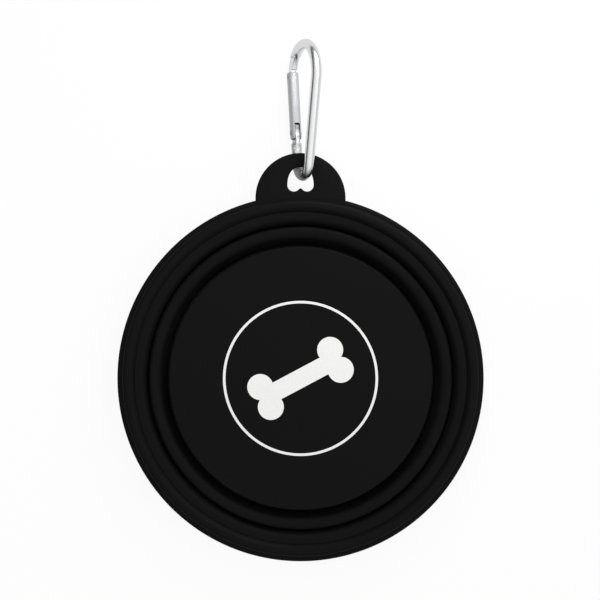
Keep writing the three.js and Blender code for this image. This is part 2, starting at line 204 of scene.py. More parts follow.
# Finish, sizes in millimetres: clouds and bloom on mouldings, streaks and dents on metal, marks in the ink
# Streaks and marks are drawn wider than the real ones and dents deeper, so that they show
CLOUD_SIZE = 18
BLOOM = 0.013
BLOOM_ROUGHNESS = 0.4
STREAK_SIZE = (0.35, 9, 0.35)
STREAK_DEPTH = 0.012
DENT_SIZE = (1.3, 1.8, 1.3)
DENT_DEPTH = 0.9
SCREEN_MARK_SIZE = 0.5
SCREEN_MARK_DEPTH = 0.01
# Most values of a noise lie between these two
NOISE_LOW = 0.3
NOISE_HIGH = 0.7

# Camera frame: millimetres across the picture and the point at its middle
VIEW_WIDTH = 212.75
VIEW_SIDE = -0.18
VIEW_MIDDLE = 27.74
VIEW_HEIGHT = 900.0
# The sensor's width in millimetres, and the nearest distance seen in metres
SENSOR_WIDTH = 36
NEAREST_SEEN = 0.01

# Floor: its width in metres, the share of it that glows, and how bright it looks in reflections
FLOOR_WIDTH = 30
FLOOR_GLOW = 0.92
FLOOR_IN_METAL = 0.79

# World: the way the scrim faces, where along that way it is fully bright, and the level of the dim room
SCRIM_WAY = (0.35, 0.0, 0.94)
SCRIM_FULL = 0.85
ROOM_LEVEL = 0.06

# Softboxes: name, place in metres, width in metres and power in watts
SOFTBOXES = (
    ("back_softbox", (0.0, 1.1, 1.3), 1.0, 1.2),
    ("left_softbox", (-1.1, 0.1, 1.3), 1.0, 0.5),
    ("right_softbox", (1.1, 0.1, 1.3), 1.0, 1.5),
    ("front_softbox", (0.0, -1.1, 1.3), 1.0, 0.3),
    ("rim_softbox", (0.06, 0.20, 0.12), 0.14, 0.22),
)

# Lines of the carabiner: its two sides lean in by the taper, and the gate turns about the pivot
TAPER = math.asin((LARGE_RADIUS - SMALL_RADIUS) / ARC_SPACING)
SIDE_LENGTH = ARC_SPACING * math.cos(TAPER)
PIVOT_RUN = (PIVOT_HEIGHT + SMALL_RADIUS * math.sin(TAPER)) / math.cos(TAPER)
GATE_WAY = Vector((-math.sin(TAPER), math.cos(TAPER), 0))
SPINE_WAY = Vector((math.sin(TAPER), math.cos(TAPER), 0))
GATE_FOOT = Vector((-SMALL_RADIUS * math.cos(TAPER), -SMALL_RADIUS * math.sin(TAPER), 0))
PIVOT = GATE_FOOT + GATE_WAY * PIVOT_RUN
CLIP_DROP = LARGE_RADIUS * math.sin(CLIP_ROLL) + GATE_RADIUS + CLIP_REST_GAP - (CLIP_CENTRE[2] - FLOOR)
CLIP_PITCH = math.asin(CLIP_DROP / (ARC_SPACING * math.sin(CLIP_ROLL)))
CLIP_PLACE = (
    Matrix.Translation(Vector(CLIP_CENTRE) * MM)
    @ Matrix.Rotation(-CLIP_ROLL, 4, "Y")
    @ Matrix.Rotation(-CLIP_PITCH, 4, "Z")
)
GATE_IN_CLIP = Matrix.Translation(PIVOT * MM) @ Matrix.Rotation(TAPER, 4, "Z")
GATE_PLACE = CLIP_PLACE @ GATE_IN_CLIP
ALONG_Y = Matrix.Rotation(math.radians(90), 4, "X")


# Materials

def srgb(code):
    """A colour written as a six-digit sRGB hex number, as linear red, green, blue and alpha."""
    channels = [(code >> shift & 255) / 255 for shift in (16, 8, 0)]
    linear = [c / 12.92 if c <= 0.04045 else ((c + 0.055) / 1.055) ** 2.4 for c in channels]
    return (*linear, 1.0)


def add_node(tree, kind, settings={}, values={}, links={}):
    """Adds a node, sets its options and socket values, and links sockets to the given outputs."""
    made = tree.nodes.new(kind)
    for name, value in settings.items():
        setattr(made, name, value)
    for socket, value in values.items():
        made.inputs[socket].default_value = value
    for socket, source in links.items():
        tree.links.new(source, made.inputs[socket])
    return made


def new_material(name):
    material = bpy.data.materials.new(name)
    material.use_nodes = True
    material.node_tree.nodes.clear()
    return material, material.node_tree


def moulded_black(name, dark, light, rough_low, rough_high, grain_size, grain_depth, specular):
    """A black moulding: a fine even grain from the tool, a faint cloudiness, and a bloom at a slant."""
    material, tree = new_material(name)
    place = add_node(tree, "ShaderNodeTexCoord").outputs["Object"]
    cloud = add_node(tree, "ShaderNodeTexNoise",
                     values={"Scale": 1 / (CLOUD_SIZE * MM), "Detail": 4.0},
                     links={"Vector": place}).outputs["Fac"]
    grain = add_node(tree, "ShaderNodeTexNoise",
                     values={"Scale": 1 / (grain_size * MM), "Detail": 2.0, "Roughness": 0.6},
                     links={"Vector": place}).outputs["Fac"]
    colour = add_node(tree, "ShaderNodeMix", settings={"data_type": "RGBA"},
                      values={6: srgb(dark), 7: srgb(light)},
                      links={0: cloud}).outputs[2]
    gloss = add_node(tree, "ShaderNodeMapRange",
                     values={"From Min": NOISE_LOW, "From Max": NOISE_HIGH,
                             "To Min": rough_low, "To Max": rough_high},
                     links={"Value": cloud}).outputs["Result"]
    bump = add_node(tree, "ShaderNodeBump",
                    values={"Strength": 1.0, "Distance": grain_depth * MM},
                    links={"Height": grain}).outputs["Normal"]
    shader = add_node(tree, "ShaderNodeBsdfPrincipled",
                      values={"Specular IOR Level": specular,
                              "Sheen Weight": BLOOM, "Sheen Roughness": BLOOM_ROUGHNESS},
                      links={"Base Color": colour, "Roughness": gloss, "Normal": bump})
    add_node(tree, "ShaderNodeOutputMaterial", links={"Surface": shader.outputs["BSDF"]})
    return material


def bare_metal(name, colour_code, rough_low, rough_high, mark_size=STREAK_SIZE, mark_depth=STREAK_DEPTH):
    """A bare metal with the marks of how it was made: streaks from the drawing die, or those given."""
    material, tree = new_material(name)
    place = add_node(tree, "ShaderNodeTexCoord").outputs["Object"]
    mark_scale = tuple(1 / (size * MM) for size in mark_size)
    stretched = add_node(tree, "ShaderNodeMapping",
                         values={"Scale": mark_scale},
                         links={"Vector": place}).outputs["Vector"]
    marks = add_node(tree, "ShaderNodeTexNoise",
                     values={"Scale": 1.0, "Detail": 3.0, "Roughness": 0.6},
                     links={"Vector": stretched}).outputs["Fac"]
    gloss = add_node(tree, "ShaderNodeMapRange",
                     values={"From Min": NOISE_LOW, "From Max": NOISE_HIGH,
                             "To Min": rough_low, "To Max": rough_high},
                     links={"Value": marks}).outputs["Result"]
    bump = add_node(tree, "ShaderNodeBump",
                    values={"Strength": 0.6, "Distance": mark_depth * MM},
                    links={"Height": marks}).outputs["Normal"]
    shader = add_node(tree, "ShaderNodeBsdfPrincipled",
                      values={"Base Color": srgb(colour_code), "Metallic": 1.0},
                      links={"Roughness": gloss, "Normal": bump})
    add_node(tree, "ShaderNodeOutputMaterial", links={"Surface": shader.outputs["BSDF"]})
    return material


def screen_ink(name, dark, light, roughness):
    """Screen ink on plastic: opaque, slightly uneven where the mesh of the screen let it through."""
    material, tree = new_material(name)
    place = add_node(tree, "ShaderNodeTexCoord").outputs["Object"]
    mesh_marks = add_node(tree, "ShaderNodeTexNoise",
                          values={"Scale": 1 / (SCREEN_MARK_SIZE * MM), "Detail": 2.0},
                          links={"Vector": place}).outputs["Fac"]
    colour = add_node(tree, "ShaderNodeMix", settings={"data_type": "RGBA"},
                      values={6: srgb(dark), 7: srgb(light)},
                      links={0: mesh_marks}).outputs[2]
    bump = add_node(tree, "ShaderNodeBump",
                    values={"Strength": 0.5, "Distance": SCREEN_MARK_DEPTH * MM},
                    links={"Height": mesh_marks}).outputs["Normal"]
    shader = add_node(tree, "ShaderNodeBsdfPrincipled",
                      values={"Roughness": roughness},
                      links={"Base Color": colour, "Normal": bump})
    add_node(tree, "ShaderNodeOutputMaterial", links={"Surface": shader.outputs["BSDF"]})
    return material


# Polypropylene from a spark-eroded tool: satin, and harder looking than the rubber
# Its grain is drawn coarser than the real one, so that it shows
polypropylene = moulded_black(
    "satin_black_polypropylene",
    dark=0x0B0B0B,
    light=0x0D0D0D,
    rough_low=0.46,
    rough_high=0.54,
    grain_size=0.30,
    grain_depth=0.012,
    specular=0.066,
)
# Thermoplastic rubber from a blasted tool: matte, as black as the plastic, with no clear highlight
# Its grain is drawn coarser than the real one too
rubber = moulded_black(
    "matte_black_thermoplastic_rubber",
    dark=0x0B0B0B,
    light=0x0E0E0E,
    rough_low=0.58,
    rough_high=0.68,
    grain_size=0.22,
    grain_depth=0.016,
    specular=0.07,
)
# Aluminium bar, drawn and polished: bright, with soft-edged reflections
aluminium = bare_metal("bright_drawn_aluminium", 0xECEDEE, 0.18, 0.28)
# The gate is tumbled after it is bored and slotted: the same metal, satin and evenly grey
tumbled_aluminium = bare_metal("tumbled_aluminium", 0xD3D4D5, 0.56, 0.68)
# The heel is swaged in a die: bright, but dented in small facets that break up what they mirror
swaged_aluminium = bare_metal("swaged_aluminium", 0xCBCCCD, 0.30, 0.42, DENT_SIZE, DENT_DEPTH)
# The same aluminium where the gate was sawn and drilled, coloured dark: painted shade inside the slots and
# bore, where little light gets in
slot_shade_aluminium = bare_metal("slot_shade_aluminium", 0x38393B, 0.5, 0.62)
# The sawn tip of the heel in the gate's slot, and the small arc where it rests in the tab's hole: coloured
# mid-grey as painted shade, and on the arc a painted dark reflection of the tab
recess_shade_aluminium = bare_metal("recess_shade_aluminium", 0x98999B, 0.42, 0.56)
# Steel pins and spring wire, left plain: greyer than the aluminium, with a soft gloss
steel = bare_metal("plain_spring_steel", 0xA9ABAE, 0.25, 0.38)
# White screen ink, dried in air: flat and opaque, with a faint mottle drawn coarser than a screen's mesh
ink = screen_ink("white_screen_ink", 0xE9E9E7, 0xF8F8F7, 0.5)


# Modelling helpers

def deselect_all():
    if bpy.context.object and bpy.context.object.mode != "OBJECT":
        bpy.ops.object.mode_set(mode="OBJECT")
    bpy.ops.object.select_all(action="DESELECT")


def pick(piece):
    deselect_all()
    piece.select_set(True)
    bpy.context.view_layer.objects.active = piece


def edit_all_of(piece):
    """Opens a piece in edit mode with all of it selected."""
    pick(piece)
    bpy.ops.object.mode_set(mode="EDIT")
    bpy.ops.mesh.select_all(action="SELECT")


def draw_out(way):
    """Extrudes what is selected along a way, in metres."""
    bpy.ops.mesh.extrude_region_move(TRANSFORM_OT_translate={"value": way})


def close_ends():
    bpy.ops.mesh.select_all(action="DESELECT")
    bpy.ops.mesh.select_non_manifold()
    bpy.ops.mesh.fill_holes(sides=0)


def face_outwards():
    """Turns every face outwards and leaves edit mode."""
    bpy.ops.mesh.select_all(action="SELECT")
    bpy.ops.mesh.normals_make_consistent(inside=False)
    bpy.ops.object.mode_set(mode="OBJECT")


def rounded(corners):
    """Outline points from corners (x, y, run before, run after): each run is rounded off to a curve."""
    points = []
    for i, (x, y, before, after) in enumerate(corners):
        corner = Vector((x, y))
        if not before and not after:
            points.append(corner)
            continue
        last = Vector(corners[i - 1][:2])
        following = Vector(corners[(i + 1) % len(corners)][:2])
        start = corner + (last - corner).normalized() * before
        end = corner + (following - corner).normalized() * after
        for step in range(ROUND_STEPS + 1):
            t = step / ROUND_STEPS
            points.append(start * (1 - t) ** 2 + corner * 2 * t * (1 - t) + end * t ** 2)
    return points


def outline_loop(name, points):
    """A circle with a vertex for each point, moved point by point to the outline."""
    deselect_all()
    bpy.ops.mesh.primitive_circle_add(vertices=len(points), radius=MM)
    loop = bpy.context.object
    loop.name = name
    loop.data.name = name
    for vertex, point in zip(loop.data.vertices, points):
        vertex.co = Vector(point) * MM
    return loop


def section_ring(name, sides, radius, place):
    """A ring of a bar's section at its place, open in edit mode and ready to be drawn out."""
    deselect_all()
    bpy.ops.mesh.primitive_circle_add(vertices=sides, radius=radius * MM)
    piece = bpy.context.object
    piece.name = name
    piece.data.name = name
    piece.data.transform(place)
    edit_all_of(piece)
    return piece


def turned(name, corners, closed=True, steps=TURN_STEPS):
    """A section of radius and height, rounded at its corners and spun about the z axis.

    A section that isn't closed is solid to the axis, and loses its edge there before it is spun.
    """
    piece = outline_loop(name, [(p.x, 0, p.y) for p in rounded(corners)])
    for vertex in piece.data.vertices:
        vertex.select = vertex.co.x < AXIS_MARGIN
    for edge in piece.data.edges:
        edge.select = all(piece.data.vertices[v].select for v in edge.vertices)
    pick(piece)
    bpy.ops.object.mode_set(mode="EDIT")
    if not closed:
        bpy.ops.mesh.delete(type="EDGE")
    bpy.ops.mesh.select_all(action="SELECT")
    bpy.ops.mesh.spin(steps=steps, angle=2 * math.pi, center=(0, 0, 0), axis=(0, 0, 1))
    bpy.ops.mesh.select_all(action="SELECT")
    bpy.ops.mesh.remove_doubles(threshold=TURN_WELD)
    face_outwards()
    return piece


def apply_modifier(piece, kind, **settings):
    pick(piece)
    modifier = piece.modifiers.new(kind.title(), kind)
    for name, value in settings.items():
        setattr(modifier, name, value)
    bpy.ops.object.modifier_apply(modifier=modifier.name)


def bevel(piece, width, segments, sharper_than):
    """Rounds the edges that turn by more than an angle in degrees."""
    apply_modifier(piece, "BEVEL", width=width * MM, segments=segments, limit_method="ANGLE",
                   angle_limit=math.radians(sharper_than))


def cut_away(piece, *cutters):
    """Takes each cutter out of the piece and removes it."""
    for cutter in cutters:
        apply_modifier(piece, "BOOLEAN", operation="DIFFERENCE", solver="EXACT", object=cutter)
        bpy.data.objects.remove(cutter)


def join_solid(piece, other):
    apply_modifier(piece, "BOOLEAN", operation="UNION", solver="EXACT", object=other)
    bpy.data.objects.remove(other)


def join_outlines(piece, hole):
    pick(piece)
    hole.select_set(True)
    bpy.ops.object.join()


def block(low, high):
    """A box cutter between two corners."""
    deselect_all()
    bpy.ops.mesh.primitive_cube_add(size=1)
    box = bpy.context.object
    size = Vector(high) - Vector(low)
    middle = (Vector(high) + Vector(low)) / 2
    box.data.transform(Matrix.Translation(middle * MM) @ Matrix.Diagonal((*(size * MM), 1)))
    return box


def rod(name, radius, start, end):
    """A round rod from one point to another."""
    deselect_all()
    start = Vector(start)
    end = Vector(end)
    way = end - start
    bpy.ops.mesh.primitive_cylinder_add(vertices=BAR_SIDES, radius=radius * MM, depth=way.length * MM)
    piece = bpy.context.object
    piece.name = name
    piece.data.name = name
    turn = way.to_track_quat("Z", "Y").to_matrix().to_4x4()
    piece.data.transform(Matrix.Translation((start + end) / 2 * MM) @ turn)
    return piece


def finish_piece(piece, material, nodes, body=None, place=None, smooth=SMOOTH_ANGLE):
    """Puts a piece in its place, shades and paints it, hides the nodes it stands for, and ties it to its
    body if one is given.
    """
    piece.data.materials.append(material)
    if place:
        piece.data.transform(place)
    pick(piece)
    bpy.ops.object.shade_smooth_by_angle(angle=math.radians(smooth))
    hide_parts(*nodes)
    if body:
        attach(piece, body)


# Bowl

def base_plate():
    """A disc with a step under its edge, where the lower web is bonded on."""
    step = BASE_RADIUS - WEB - BOND
    step_top = SEAT_HEIGHT + BOND
    corners = [
        (0, 0, *SHARP),
        (step, 0, *STEP_EDGE),
        (step, step_top, *SHARP),
        (BASE_RADIUS, step_top, *PLATE_UNDER_EDGE),
        (BASE_RADIUS, BASE_THICKNESS, *PLATE_TOP_EDGE),
        (0, BASE_THICKNESS, *SHARP),
    ]
    piece = turned("base_plate_skin", corners, closed=False)
    finish_piece(piece, polypropylene, ["base_plate"], "base")


def fold_web(name, node, collar, collar_top, toe):
    """A thin web that folds in the real bowl, here drawn straight from the collar of the body it hangs from
    down to the toe of the band it stands on.
    """
    collar_bottom = collar_top - SEAT_HEIGHT
    foot = TOE_TOP + BOND
    shares = [ring / WEB_RINGS for ring in range(WEB_RINGS + 1)]
    fall = [(collar_bottom + (foot - collar_bottom) * t, t) for t in shares]
    inside = [(collar - WEB + (toe - collar + WEB) * t, z, *SHARP) for z, t in fall]
    outside = [(collar + (toe + WEB - collar) * t, z, *SHARP) for z, t in reversed(fall)]
    corners = [
        (collar - WEB, collar_top, *SHARP),
        *inside,
        *outside,
        (collar, collar_top, *SHARP),
    ]
    piece = turned(name, corners)
    finish_piece(piece, rubber, [node])
    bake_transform(piece)


def lower_wall_band():
    """The inner thick band: a toe for the web, a leaning wall and a rounded crest."""
    wall_foot = LOWER_TOE + WEB + WEB_CLEARANCE
    neck = CREST_RADIUS - WEB - BOND
    inside = CREST_RADIUS - LIP_HEIGHT - CREST_SHOULDER
    shoulder_corner = inside + CREST_SHOULDER * SHOULDER_CORNER
    corners = [
        (LOWER_TOE, FLOOR, *TOE_EDGE),
        (wall_foot + WALL, FLOOR, *FOOT_EDGE),
        (neck, -BOND, *SHARP),
        (neck, 0, *SHARP),
        (CREST_RADIUS, 0, *FINE_EDGE),
        (CREST_RADIUS, CREST_TOP, *CREST_EDGE),
        (shoulder_corner, CREST_TOP, SHOULDER_CURVE * CREST_SHOULDER, SHOULDER_HEIGHT),
        (inside, CREST_TOP - SHOULDER_HEIGHT, *SHARP),
        (wall_foot, TOE_TOP, *ROOT_EDGE),
        (LOWER_TOE, TOE_TOP, *FINE_EDGE),
    ]
    piece = turned("lower_wall_band_skin", corners)
    finish_piece(piece, rubber, ["lower_wall_band"], "lower_wall")


def upper_wall_band():
    """The outer thick band: a toe for the web, a leaning wall and a ledge that ends at the crease."""
    wall_foot = UPPER_TOE + WEB + WEB_CLEARANCE
    bond = RING_INNER - BOND
    shoulder_corner = LEDGE_INNER + LEDGE_SHOULDER * SHOULDER_CORNER
    corners = [
        (UPPER_TOE, FLOOR, *TOE_EDGE),
        (wall_foot + WALL, FLOOR, *FOOT_EDGE),
        (bond - WALL / 2, FLANGE_BOTTOM - WALL, *BELOW_FLANGE_EDGE),
        (bond, FLANGE_BOTTOM, *SHARP),
        (bond, LEDGE_TOP, CREASE_DEPTH, CREASE_RUN),
        (shoulder_corner, LEDGE_TOP, SHOULDER_CURVE * LEDGE_SHOULDER, SHOULDER_HEIGHT),
        (LEDGE_INNER, LEDGE_TOP - SHOULDER_HEIGHT, *SHARP),
        (wall_foot, TOE_TOP, *ROOT_EDGE),
        (UPPER_TOE, TOE_TOP, *FINE_EDGE),
    ]
    piece = turned("upper_wall_band_skin", corners)
    finish_piece(piece, rubber, ["upper_wall_band"], "rim")


def heart_points():
    """The hole's outline: a small rounded notch at its foot, a lobe on each side and a round top."""
    lobe_x = HOLE_HALF_WIDTH - HOLE_LOBE_RADIUS
    reach = HOLE_LOBE_RADIUS + HOLE_NOTCH_RADIUS
    notch_y = HOLE_LOBE_HEIGHT - math.sqrt(reach ** 2 - lobe_x ** 2)
    turn = math.atan2(HOLE_LOBE_HEIGHT - notch_y, lobe_x)
    rise = HOLE_TOP - HOLE_LOBE_HEIGHT
    right = []
    for step in range(NOTCH_STEPS + 1):
        angle = math.pi / 2 + (turn - math.pi / 2) * step / NOTCH_STEPS
        x = HOLE_NOTCH_RADIUS * math.cos(angle)
        right.append((x, notch_y + HOLE_NOTCH_RADIUS * math.sin(angle)))
    for step in range(1, HOLE_LOBE_STEPS + 1):
        angle = turn + math.pi + (math.pi - turn) * step / HOLE_LOBE_STEPS
        x = lobe_x + HOLE_LOBE_RADIUS * math.cos(angle)
        right.append((x, HOLE_LOBE_HEIGHT + HOLE_LOBE_RADIUS * math.sin(angle)))
    side = [
        (HOLE_HALF_WIDTH, HOLE_LOBE_HEIGHT),
        (HOLE_HALF_WIDTH, HOLE_LOBE_HEIGHT + HOLE_SIDE_FULLNESS * rise),
        (HOLE_TOP_FULLNESS * HOLE_HALF_WIDTH, HOLE_TOP),
        (0, HOLE_TOP),
    ]
    for step in range(1, HOLE_TOP_STEPS + 1):
        t = step / HOLE_TOP_STEPS
        weights = ((1 - t) ** 3, 3 * t * (1 - t) ** 2, 3 * t ** 2 * (1 - t), t ** 3)
        right.append(tuple(sum(w * point[axis] for w, point in zip(weights, side)) for axis in (0, 1)))
    left = [(-x, y) for x, y in reversed(right[1:-1])]
    return right + left


def hang_tab():
    """The tab's outline and hole, filled, drawn down to its thickness and rounded along its edges."""
    arc = [math.pi * step / TAB_STEPS for step in range(TAB_STEPS + 1)]
    outline = [(-TAB_RADIUS, TAB_ROOT, FLANGE_TOP), (TAB_RADIUS, TAB_ROOT, FLANGE_TOP)]
    outline += [(TAB_RADIUS * math.cos(a), TAB_CENTRE + TAB_RADIUS * math.sin(a), FLANGE_TOP) for a in arc]
    tab = outline_loop("hang_tab", outline)
    hole = outline_loop("hang_tab_hole", [(x, y, FLANGE_TOP) for x, y in heart_points()])
    join_outlines(tab, hole)
    edit_all_of(tab)
    bpy.ops.mesh.fill(use_beauty=True)
    bpy.ops.mesh.dissolve_limited(angle_limit=math.radians(FLAT_ANGLE))
    bpy.ops.mesh.select_all(action="SELECT")
    depth = (FLANGE_BOTTOM - FLANGE_TOP) * MM
    draw_out((0, 0, depth))
    face_outwards()
    bevel(tab, TAB_EDGE, segments=4, sharper_than=60)
    return tab


def rim_ring():
    """A flat flange with a raised bead along its inner side, and the hang tab joined on."""
    corners = [
        (RING_INNER, FLANGE_BOTTOM, *STEP_EDGE),
        (RIM_RADIUS, FLANGE_BOTTOM, *FLANGE_UNDER_EDGE),
        (RIM_RADIUS, FLANGE_TOP, *FLANGE_TOP_EDGE),
        (BEAD_OUTER, FLANGE_TOP, *BEAD_FOOT_EDGE),
        (BEAD_OUTER, BEAD_TOP, *BEAD_OUTER_EDGE),
        (RING_INNER + BEAD_FOOT, BEAD_TOP, *BEAD_INNER_EDGE),
        (RING_INNER, LEDGE_TOP - CREASE_DEPTH, *SHARP),
    ]
    ring = turned("rim_ring_skin", corners)
    join_solid(ring, hang_tab())
    finish_piece(ring, polypropylene, ["rim_ring"], "rim")


# Printed motif

def flat_print(name, outline, hole=None):
    """An outline on the base plate, filled and given the thickness of a layer of ink."""
    bottom = BASE_THICKNESS + INK_LIFT
    piece = outline_loop(name, [(x, y, bottom) for x, y in outline])
    if hole:
        inner = outline_loop(name + "_hole", [(x, y, bottom) for x, y in hole])
        join_outlines(piece, inner)
    edit_all_of(piece)
    if hole:
        bpy.ops.mesh.bridge_edge_loops()
    else:
        bpy.ops.mesh.edge_face_add()
    bpy.ops.mesh.select_all(action="SELECT")
    draw_out((0, 0, INK_THICKNESS * MM))
    face_outwards()
    finish_piece(piece, ink, [], "base", smooth=PRINT_SMOOTH_ANGLE)


def circle_points(radius):
    angles = [2 * math.pi * step / PRINT_RING_STEPS for step in range(PRINT_RING_STEPS)]
    return [(radius * math.cos(a), radius * math.sin(a)) for a in angles]


def bone_points():
    """A plain bone: a straight shaft and two round knobs at each end."""
    meet = math.acos((BONE_SHAFT - BONE_LOBE_SPREAD) / BONE_LOBE_RADIUS)
    notch = math.acos(-BONE_LOBE_SPREAD / BONE_LOBE_RADIUS)
    quarter = []
    for step in range(BONE_LOBE_STEPS + 1):
        angle = math.pi / 2 + meet - (meet + notch) * step / BONE_LOBE_STEPS
        x = BONE_HALF_LENGTH + BONE_LOBE_RADIUS * math.cos(angle)
        quarter.append((x, BONE_LOBE_SPREAD + BONE_LOBE_RADIUS * math.sin(angle)))
    right = quarter + [(x, -y) for x, y in reversed(quarter[:-1])]
    outline = right + [(-x, -y) for x, y in right]
    turn = Matrix.Rotation(BONE_TILT, 2)
    return [tuple(turn @ Vector(point)) for point in outline]


def printed_motif():
    outer = circle_points(PRINT_RING_RADIUS + PRINT_RING_LINE / 2)
    inner = circle_points(PRINT_RING_RADIUS - PRINT_RING_LINE / 2)
    flat_print("print_ring", outer, inner)
    flat_print("print_bone", bone_points())


# Carabiner

def flatten_tongues(piece):
    """Presses the bar flat at the heel and at the nose, where it stands in the gate's slots."""
    for vertex in piece.data.vertices:
        point = vertex.co / MM
        past_pivot = (point - PIVOT).dot(GATE_WAY)
        off_line = (point - PIVOT - GATE_WAY * past_pivot).length
        at_heel = HEEL_SHOULDER - MARK_MARGIN < past_pivot < HEEL_REACH + MARK_MARGIN
        at_nose = past_pivot > NOSE_TIP - MARK_MARGIN and point.y < NOSE_FLAT_TOP
        half = BAR_RADIUS
        if at_heel and off_line < 2 * BAR_RADIUS:
            half = HEEL_TONGUE / 2
        if at_nose and point.x < -LARGE_RADIUS / 3:
            half = NOSE_TONGUE / 2
        vertex.co.z = max(-half, min(half, point.z)) * MM


def frame_cutters():
    """Holes for the rivet and the spring, the latch's notch, and the flat where the nose meets the gate."""
    deep = CUTTER_REACH
    notch = LATCH_RADIUS + 2 * PIN_GAP
    cheek = GATE_RADIUS - GATE_CHEEK - TONGUE_GAP
    cutters = [
        rod("rivet_hole", RIVET_RADIUS + PIN_GAP, (0, 0, -deep), (0, 0, deep)),
        rod("spring_hole", SPRING_RADIUS + PIN_GAP, (0, SPRING_SEAT - PIN_GAP, 0), (0, deep, 0)),
        rod("notch_end", notch, (0, LATCH_REACH, -deep), (0, LATCH_REACH, deep)),
        block((0, LATCH_REACH - notch, -deep), (deep, LATCH_REACH + notch, deep)),
        block((cheek, NOSE_TIP - deep, -deep), (deep, GATE_REACH + END_GAP, deep)),
    ]
    for cutter in cutters:
        cutter.data.transform(GATE_IN_CLIP)
    return cutters


def frame_finishes(piece):
    """The finish of each face: bright, swaged along the heel, or a darker grey at its tip and in the hole,
    as painted shade.
    """
    bright, swaged, painted_shade = range(3)
    finishes = []
    for face in piece.data.polygons:
        middle = face.center / MM
        past_pivot = (middle - PIVOT).dot(GATE_WAY)
        finish = bright
        if middle.x < 0 and -PIVOT_RUN < past_pivot < NOSE_TIP / 2:
            finish = swaged if past_pivot < SHADE_START else painted_shade
        if middle.x < SMALL_RADIUS / 2 and past_pivot < -PIVOT_RUN:
            finish = painted_shade
        finishes.append(finish)
    return finishes


def carabiner_frame():
    """A ring of the bar's section, drawn along the heel, spun round both arcs and drawn to the nose."""
    tip = PIVOT + GATE_WAY * HEEL_REACH
    place = Matrix.Translation(tip * MM) @ (Matrix.Rotation(TAPER, 4, "Z") @ ALONG_Y)
    piece = section_ring("carabiner_frame_skin", BAR_SIDES, BAR_RADIUS, place)
    marks = (HEEL_REACH, SHADE_START, HEEL_SHOULDER, HEEL_SHOULDER - HEEL_SHOULDER_RUN, -PIVOT_RUN)
    for mark, following in zip(marks, marks[1:]):
        run = mark - following
        draw_out(-GATE_WAY * run * MM)
    small_turn = 2 * TAPER - math.pi
    bpy.ops.mesh.spin(steps=SMALL_ARC_STEPS, angle=small_turn, center=(0, 0, 0), axis=(0, 0, 1))
    draw_out(SPINE_WAY * SIDE_LENGTH * MM)
    large_turn = -math.pi - 2 * TAPER
    large_centre = (0, ARC_SPACING * MM, 0)
    bpy.ops.mesh.spin(steps=LARGE_ARC_STEPS, angle=large_turn, center=large_centre, axis=(0, 0, 1))
    nose = SIDE_LENGTH - PIVOT_RUN - NOSE_TIP
    draw_out(-GATE_WAY * nose * MM)
    bpy.ops.mesh.select_all(action="SELECT")
    bpy.ops.mesh.remove_doubles(threshold=BAR_WELD)
    close_ends()
    face_outwards()
    flatten_tongues(piece)
    cut_away(piece, *frame_cutters())
    bevel(piece, FRAME_BEVEL, segments=2, sharper_than=38)
    finishes = frame_finishes(piece)
    finish_piece(piece, aluminium, ["carabiner_frame"], "carabiner", CLIP_PLACE)
    piece.data.materials.append(swaged_aluminium)
    # The heel's tip and the arc in the hole get a darker grey: painted shade
    piece.data.materials.append(recess_shade_aluminium)
    piece.data.polygons.foreach_set("material_index", finishes)


def carabiner_gate():
    """A round bar with eased ends, slotted at heel and nose, drilled for its pins, bored for its spring."""
    piece = rod("carabiner_gate_skin", GATE_RADIUS, (0, -GATE_TAIL, 0), (0, GATE_REACH, 0))
    bevel(piece, GATE_END_BEVEL, segments=4, sharper_than=60)
    wide = 3 * GATE_RADIUS
    cheek = GATE_RADIUS - GATE_CHEEK
    cut_away(
        piece,
        block((-wide, -wide, -HEEL_SLOT / 2), (wide, HEEL_REACH + END_GAP, HEEL_SLOT / 2)),
        block((-wide, NOSE_TIP - END_GAP, -NOSE_SLOT / 2), (cheek, GATE_REACH + wide, NOSE_SLOT / 2)),
        rod("gate_rivet_hole", RIVET_RADIUS + PIN_GAP, (0, 0, -wide), (0, 0, wide)),
        rod("gate_latch_hole", LATCH_RADIUS + PIN_GAP, (0, LATCH_REACH, -wide), (0, LATCH_REACH, wide)),
        rod("gate_bore", GATE_BORE, (0, 0, 0), (0, GATE_BORE_REACH, 0)),
    )
    bevel(piece, GATE_CUT_BEVEL, segments=2, sharper_than=50)
    slot_shade_faces = []
    for face in piece.data.polygons:
        middle = face.center / MM
        near_axis = math.hypot(middle.x, middle.z) < CUT_FACE_SHARE * GATE_RADIUS
        between_ends = -GATE_TAIL < middle.y < GATE_REACH - END_GAP
        slot_shade_faces.append(int(near_axis and between_ends))
    finish_piece(piece, tumbled_aluminium, ["carabiner_gate"], "gate", GATE_PLACE)
    # The faces cut inside the slots and bore get a dark colour: painted shade
    piece.data.materials.append(slot_shade_aluminium)
    piece.data.polygons.foreach_set("material_index", slot_shade_faces)


def gate_rivet():
    """A straight pin, peened to a low dome at both ends."""
    corners = [
        (0, -RIVET_TIP, *SHARP),
        (RIVET_RADIUS, -RIVET_TIP, RIVET_DOME_RUN, RIVET_DOME_DROP),
        (RIVET_RADIUS, RIVET_TIP, RIVET_DOME_DROP, RIVET_DOME_RUN),
        (0, RIVET_TIP, *SHARP),
    ]
    piece = turned("gate_rivet_skin", corners, closed=False, steps=RIVET_STEPS)
    finish_piece(piece, steel, ["gate_rivet"], "carabiner", GATE_PLACE)


def gate_latch_pin():
    """A pin across the gate's nose slot, ground off where it meets the gate's round side."""
    half = math.sqrt(GATE_RADIUS ** 2 - LATCH_RADIUS ** 2)
    piece = rod("gate_latch_pin_skin", LATCH_RADIUS, (0, LATCH_REACH, -half), (0, LATCH_REACH, half))
    bevel(piece, LATCH_BEVEL, segments=3, sharper_than=60)
    finish_piece(piece, steel, ["gate_latch_pin"], "gate", GATE_PLACE)


